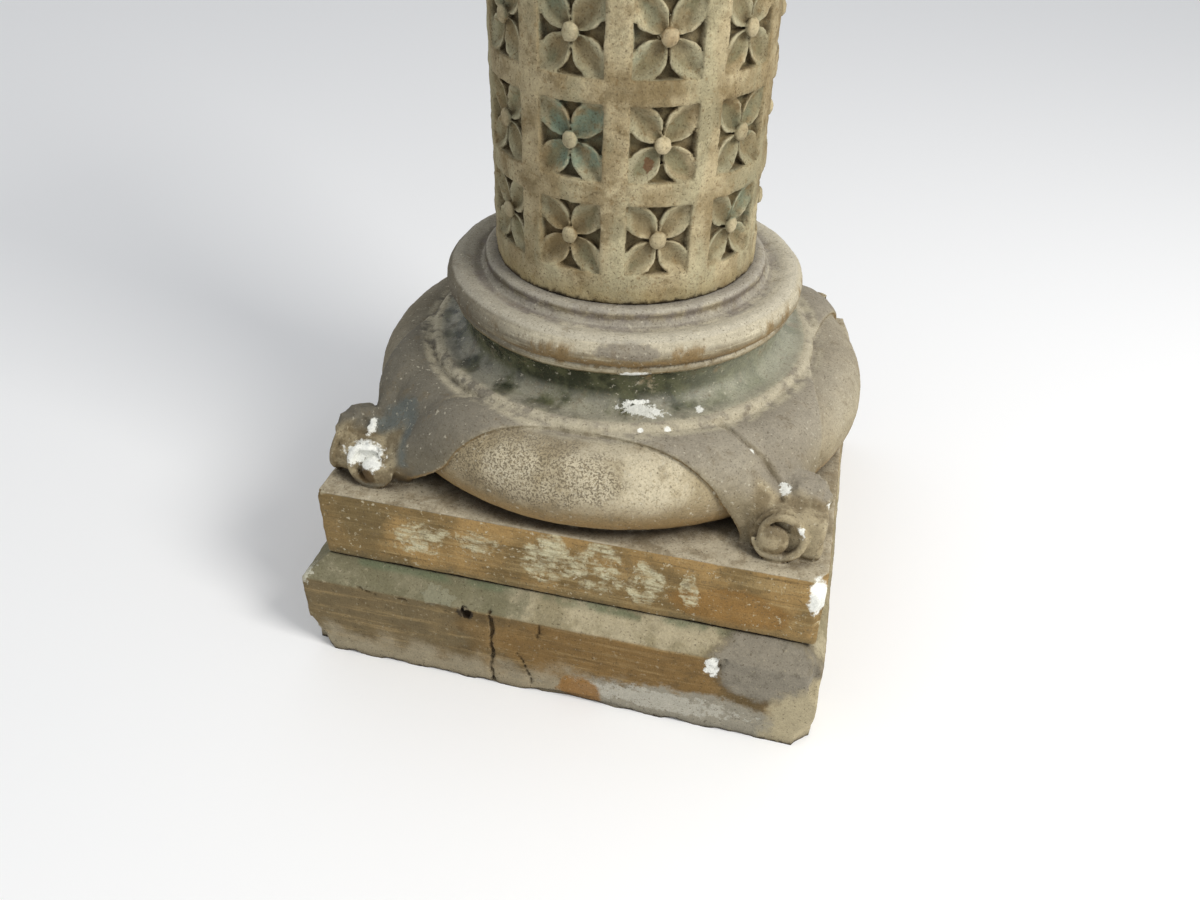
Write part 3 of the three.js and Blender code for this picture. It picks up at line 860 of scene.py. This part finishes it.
colour = coat(plaster, colour, specks(plaster, 560.0, 0.58, 0.1), shade(80, 69, 52), 0.6)
colour = coat(plaster, colour, specks(plaster, 260.0, 0.62, 0.1), shade(202, 195, 174), 0.5)
colour = coat(plaster, colour, blotches(plaster, 70, 6, 0.54, 0.68, 0.72), shade(112, 99, 76), 0.4)
colour = coat(plaster, colour, put(plaster, crest_wear, Low=0.53, High=0.59), shade(206, 195, 164), 0.5)
# Painted shade with dirt: dark brown where ambient occlusion finds crevices, undercuts and joints.
colour = coat(plaster, colour, sheltered(plaster, 0.018, 0.72, 0.22), shade(58, 45, 29), 0.9)
# White patches: chips of bare white plaster, except the four low on the glazed scotia right of the front (x
# 49 to 97 mm, 258 to 263 mm up), which are painted highlights.
white_chips_and_glints = (
    ((-172, -196, 208), (21, 14, 16), 1.7, 1.0), ((213, -210, 158), (9, 10, 20), 1.3, 1.0),
    ((97, -128, 258), (4, 4, 2), 2.5, 0.9), ((64, -143, 259), (4, 5, 1.5), 2.4, 0.8),
    ((49, -138, 263), (9, 5, 1.5), 2.6, 0.9), ((50, -143, 258), (20, 7, 6), 3.4, 0.75),
    ((56, -163, 254), (3, 4, 1.5), 1.6, 1.0), ((76, -156, 253), (3, 3, 3), 1.6, 1.0),
    ((48, -146, 291), (14, 7, 3), 2.0, 1.0), ((142, -153, 241), (4, 4, 3), 1.6, 1.0),
    ((205, -166, 213), (4, 5, 4), 3.0, 1.0), ((173, -166, 222), (5, 7, 4), 3.2, 1.0),
    ((191, -158, 220), (4, 4, 3), 3.0, 1.0), ((191, -199, 206), (3, 6, 7), 3.4, 0.9),
    ((-172, -170, 221), (4, 10, 8), 2.4, 0.9), ((-222, -212, 130), (6, 12, 9), 2.2, 0.9),
    ((-60, -150, 262), (14, 8, 2), 2.6, 0.6),
)
for place, size, torn, amount in white_chips_and_glints:
    colour = coat(plaster, colour, patch(plaster, place, size, torn, 190), shade(232, 232, 224), amount)
# Painted shade with the eye's brown: a dark brown spot for the hole at the eye of the broken front left
# scroll.
eye_hole_shade = patch(plaster, (-168, -196, 187), (9, 12, 8), 0.8, 120)
colour = coat(plaster, colour, eye_hole_shade, shade(86, 68, 42), 0.9)
relief = maths(plaster, "ADD", noise(plaster, 900, 3, 0.6), maths(
    plaster, "MULTIPLY", noise(plaster, 220, 4, 0.65), 1.6
))
relief = maths(plaster, "ADD", relief, both(plaster, moulded, turning))
matt = between(plaster, noise(plaster, 200), -1.2, 0.6)
shiny = node(plaster, "Mix", {0: glaze, 2: matt, 3: 0.27}, data_type="FLOAT").outputs[0]
surface(plaster, shader, colour, shiny, relief, 0.4)
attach(base, "root")
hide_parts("base")


# Shaft: a round drum of stucco pressed in a mould, with rows of sunk square coffers. Each holds a
# flower of four hollow petals round a bud. It stands on the ring of the base.
shaft_low, shaft_high = (Vector(corner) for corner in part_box("shaft"))
shaft_radius = 111.5
columns = 10
rows = 8
foot_band = 24
coffer_high = 56
coffer_angle = 26.4
cross_rib = 17
first_column = 24.6
coffer_deep = 7.5
coffer_draft = 0.95
tile_wide = 2 * pi * shaft_radius / columns
tile_high = coffer_high + cross_rib
tile_inset = 4
coffer_wide = tile_wide * coffer_angle / (360 / columns)
wall = 26

tile = squared_block(
    "tile", Vector((-tile_wide / 2, 0, -tile_high / 2)) * mm,
    Vector((tile_wide / 2, wall, tile_high / 2)) * mm,
)
pick(tile, lambda place, normal: normal.y < -0.9)
bpy.ops.mesh.inset(thickness=tile_inset * mm)
opening = (coffer_wide / (tile_wide - 2 * tile_inset), 1, coffer_high / (tile_high - 2 * tile_inset))
bpy.ops.transform.resize(value=opening, center_override=(0, 0, 0))
bpy.ops.mesh.extrude_region_move(TRANSFORM_OT_translate={"value": (0, coffer_deep * mm, 0)})
bpy.ops.transform.resize(
    value=(coffer_draft, 1, coffer_draft), center_override=(0, coffer_deep * mm, 0)
)
bpy.ops.mesh.select_all(action="SELECT")
bpy.ops.mesh.subdivide(number_cuts=5)
object_mode()
petal_root = 3
petal_half = 11.6
petal_rim = 0.8
petal_hollow = 6
petal_tilt = 0.10
petal_sunk = 0.7
petal_thick = 7
petal_tip = sqrt((coffer_wide / 2) ** 2 + (coffer_high / 2) ** 2) * 0.985


def petal(angle):
    bpy.ops.object.select_all(action="DESELECT")
    bpy.ops.mesh.primitive_grid_add(x_subdivisions=24, y_subdivisions=20, size=2)
    leaf = bpy.context.object
    for vert in leaf.data.vertices:
        along, across = vert.co.x, vert.co.y
        out = (petal_root + petal_tip) / 2 + along * (petal_tip - petal_root) / 2
        full = max(0.02, 1 - along * along)
        inside = max(0, 1 - abs(across) / petal_rim)
        depth = petal_sunk + (petal_tip - out) * petal_tilt + petal_hollow * inside**0.75 * full**0.5
        vert.co = Vector((out, depth, across * petal_half * full**0.78)) * mm
    apply_modifier(leaf, "SOLIDIFY", thickness=petal_thick * mm, offset=-1)
    leaf.rotation_euler = (0, -angle, 0)
    return finished(leaf)


diagonal = atan2(coffer_high, coffer_wide)
petals = [petal(angle) for angle in (diagonal, pi - diagonal, pi + diagonal, -diagonal)]
bud_radius = 6.8
bud_sunk = 2.6
bud_flat = 0.55
bpy.ops.object.select_all(action="DESELECT")
bpy.ops.mesh.primitive_uv_sphere_add(
    segments=20, ring_count=12, radius=bud_radius * mm, location=(0, bud_sunk * mm, 0)
)
bud = bpy.context.object
bud.scale = (1, bud_flat, 1)
finished(bud)
for part in [*petals, bud, tile]:
    part.select_set(True)
bpy.context.view_layer.objects.active = tile
bpy.ops.object.join()

for count, step in ((columns, (tile_wide * mm, 0, 0)), (rows, (0, 0, tile_high * mm))):
    apply_modifier(tile, "ARRAY", count=count, use_relative_offset=False, use_constant_offset=True,
                   constant_offset_displace=step)
tile.location.x = -tile_wide * mm * (columns - 1) / 2
finished(tile)
apply_modifier(tile, "SIMPLE_DEFORM", deform_method="BEND", deform_axis="Z", angle=2 * pi)
tile.location.y = -shaft_radius * mm
finished(tile)
tile.rotation_euler = (0, 0, radians(first_column - 180 / columns * (1 - columns % 2)))
first_row = shaft_low.z / mm + foot_band + coffer_high / 2
tile.location.z = first_row * mm
finished(tile)


def drum(radius, low, high):
    bpy.ops.object.select_all(action="DESELECT")
    bpy.ops.mesh.primitive_cylinder_add(
        vertices=180, radius=radius * mm, depth=high - low, location=(0, 0, (low + high) / 2)
    )
    return finished(bpy.context.object)


core_radius = shaft_radius - 12
drums = [
    drum(core_radius, shaft_low.z, shaft_high.z),
    drum(shaft_radius, shaft_low.z, shaft_low.z + foot_band * mm),
    drum(shaft_radius, shaft_high.z - foot_band * mm, shaft_high.z),
]
bpy.ops.object.select_all(action="DESELECT")
for part in [*drums, tile]:
    part.select_set(True)
bpy.context.view_layer.objects.active = tile
bpy.ops.object.join()
shaft = tile
shaft.name = "shaft_stucco"
shaft.location.x = column_x * mm
finished(shaft)
cast(shaft, voxel=1.2 * mm, triangles=188000, waves=1.5, marks=2.0, grit=0.9)
under_box = 0.01 * mm
cut_flat(shaft, shaft_high.z - under_box, True)

limewash, shader = stucco(shaft, "pressed stucco")
x, _, z, reach = from_axis(limewash)
colour = coat(limewash, shade(142, 126, 93), blotches(limewash, 18, 5, 0.4, 0.62, 0.6), shade(182, 168, 134))
colour = coat(limewash, colour, blotches(limewash, 34, 6, 0.48, 0.62, 0.7), shade(112, 95, 63), 0.65)
# Painted shade: the shaft darkens towards its left side, away from the key light.
colour = coat(limewash, colour, between(limewash, x, 0.0, -0.12), shade(112, 99, 71), 0.55)
proud = between(limewash, reach, (shaft_radius - 3) * mm, (shaft_radius - 1) * mm)
faded = both(limewash, proud, blotches(limewash, 1, 5, 0.46, 0.62, 0.6, (30, 30, 9)))
colour = coat(limewash, colour, faded, shade(164, 162, 133), 0.4)
sunk = between(limewash, reach, (shaft_radius - 4) * mm, (shaft_radius - 6.5) * mm)
relieved = between(limewash, reach, (shaft_radius - 0.5) * mm, (shaft_radius - 2.5) * mm)
greyed = both(limewash, relieved, blotches(limewash, 22, 5, 0.38, 0.58))
colour = coat(limewash, colour, greyed, shade(152, 152, 126), 0.6)
# Dirt and painted shade: the ground sunk deep in the coffers is darkened.
colour = coat(limewash, colour, sunk, shade(120, 105, 74), 0.6)
greened = both(limewash, sunk, blotches(limewash, 26, 4, 0.45, 0.6))
colour = coat(limewash, colour, greened, shade(118, 122, 96), 0.55)
# Grime and painted shade: brown blotches where ambient occlusion finds the hollows.
grime_and_shade = both(
    limewash, sheltered(limewash, 0.03, 0.95, 0.55),
    blotches(limewash, 30, 6, 0.36, 0.56, 0.7),
)
colour = coat(limewash, colour, grime_and_shade, shade(122, 100, 64), 0.6)
verdigris = (
    ((-13, -104, 461), (27, 18, 29), 0.95), ((106, -40, 396), (14, 26, 26), 0.7),
    ((104, -50, 470), (14, 26, 26), 0.4), ((24, -108, 540), (20, 20, 30), 0.4),
    ((-60, -90, 560), (40, 40, 40), 0.6), ((90, 60, 520), (40, 40, 60), 0.7),
    ((-100, 30, 640), (30, 40, 60), 0.6), ((30, 105, 760), (50, 30, 50), 0.6),
)
for place, size, amount in verdigris:
    tinted = both(
        limewash, patch(limewash, place, size, 1.3, 40), specks(limewash, 70.0, 0.36, 0.28),
        maths(limewash, "ADD", maths(limewash, "MULTIPLY", relieved, 0.8), 0.2),
    )
    colour = coat(limewash, colour, tinted, shade(112, 130, 112), amount * 0.85)
red_brown = patch(limewash, (40, -101, 443), (4, 9, 5), 2.6, 170)
colour = coat(limewash, colour, red_brown, shade(106, 74, 50), 0.85)
tanned = patch(limewash, (51, -101, 531), (7, 9, 7), 1.4, 90)
colour = coat(limewash, colour, tanned, shade(146, 118, 80), 0.5)
yellowed = both(limewash, between(limewash, z, 0.352, 0.334), blotches(limewash, 50, 5, 0.35, 0.55))
colour = coat(limewash, colour, yellowed, shade(158, 142, 102), 0.6)
colour = coat(limewash, colour, specks(limewash, 210.0, 0.57, 0.14), shade(116, 92, 56), 0.5)
colour = coat(limewash, colour, specks(limewash, 560.0, 0.57, 0.1), shade(78, 62, 40), 0.6)
colour = coat(limewash, colour, put(limewash, crest_wear, Low=0.53, High=0.61), shade(204, 192, 160), 0.5)
# Dirt and painted shade: dark brown where ambient occlusion finds the coffers' corners and the petals'
# hollows.
dirt_and_shade = coat(
    limewash, shade(52, 41, 25), blotches(limewash, 45, 5, 0.45, 0.65, 0.65), shade(96, 82, 54)
)
colour = coat(limewash, colour, sheltered(limewash, 0.011, 0.84, 0.36), dirt_and_shade, 0.92)
relief = maths(limewash, "ADD", noise(limewash, 900, 3, 0.6), maths(
    limewash, "MULTIPLY", noise(limewash, 260, 4, 0.65), 1.4
))
surface(limewash, shader, colour, between(limewash, noise(limewash, 200), -1.2, 0.6), relief, 0.45)
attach(shaft, "root")
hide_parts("shaft")
